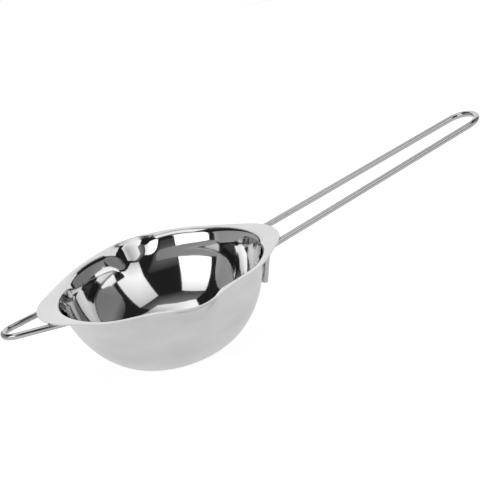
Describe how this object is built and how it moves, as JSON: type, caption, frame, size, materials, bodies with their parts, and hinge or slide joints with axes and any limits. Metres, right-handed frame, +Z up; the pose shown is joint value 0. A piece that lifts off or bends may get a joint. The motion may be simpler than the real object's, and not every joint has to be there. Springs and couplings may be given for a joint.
{
  "type": "melting pot",
  "caption": "Round pressed steel melting bowl with a flange, opposite pouring spouts, a long bent-wire handle and a short wire loop that rests on a saucepan's far rim.",
  "frame": {"origin": "centre of the flat base's underside", "axes": "+X out along the handle, +Z up out of the bowl's mouth, +Y to the right of the hand that holds the handle"},
  "size_m": [0.3369, 0.1556, 0.0801],
  "materials": {
    "bowl_steel": "pressed stainless steel sheet, satin outside and on the flange, mirror-polished inside",
    "wire_steel": "drawn stainless steel wire, polished",
    "weld_steel": "stainless steel weld, brushed clean, duller than the wire"
  },
  "bodies": {
    "root": {"bowl": "bowl_steel", "handle": "wire_steel", "rest_loop": "wire_steel", "handle_flange_weld_left": "weld_steel", "handle_flange_weld_right": "weld_steel", "handle_wall_weld_left": "weld_steel", "handle_wall_weld_right": "weld_steel", "loop_weld_left": "weld_steel", "loop_weld_right": "weld_steel"}
  },
  "joints": []
}
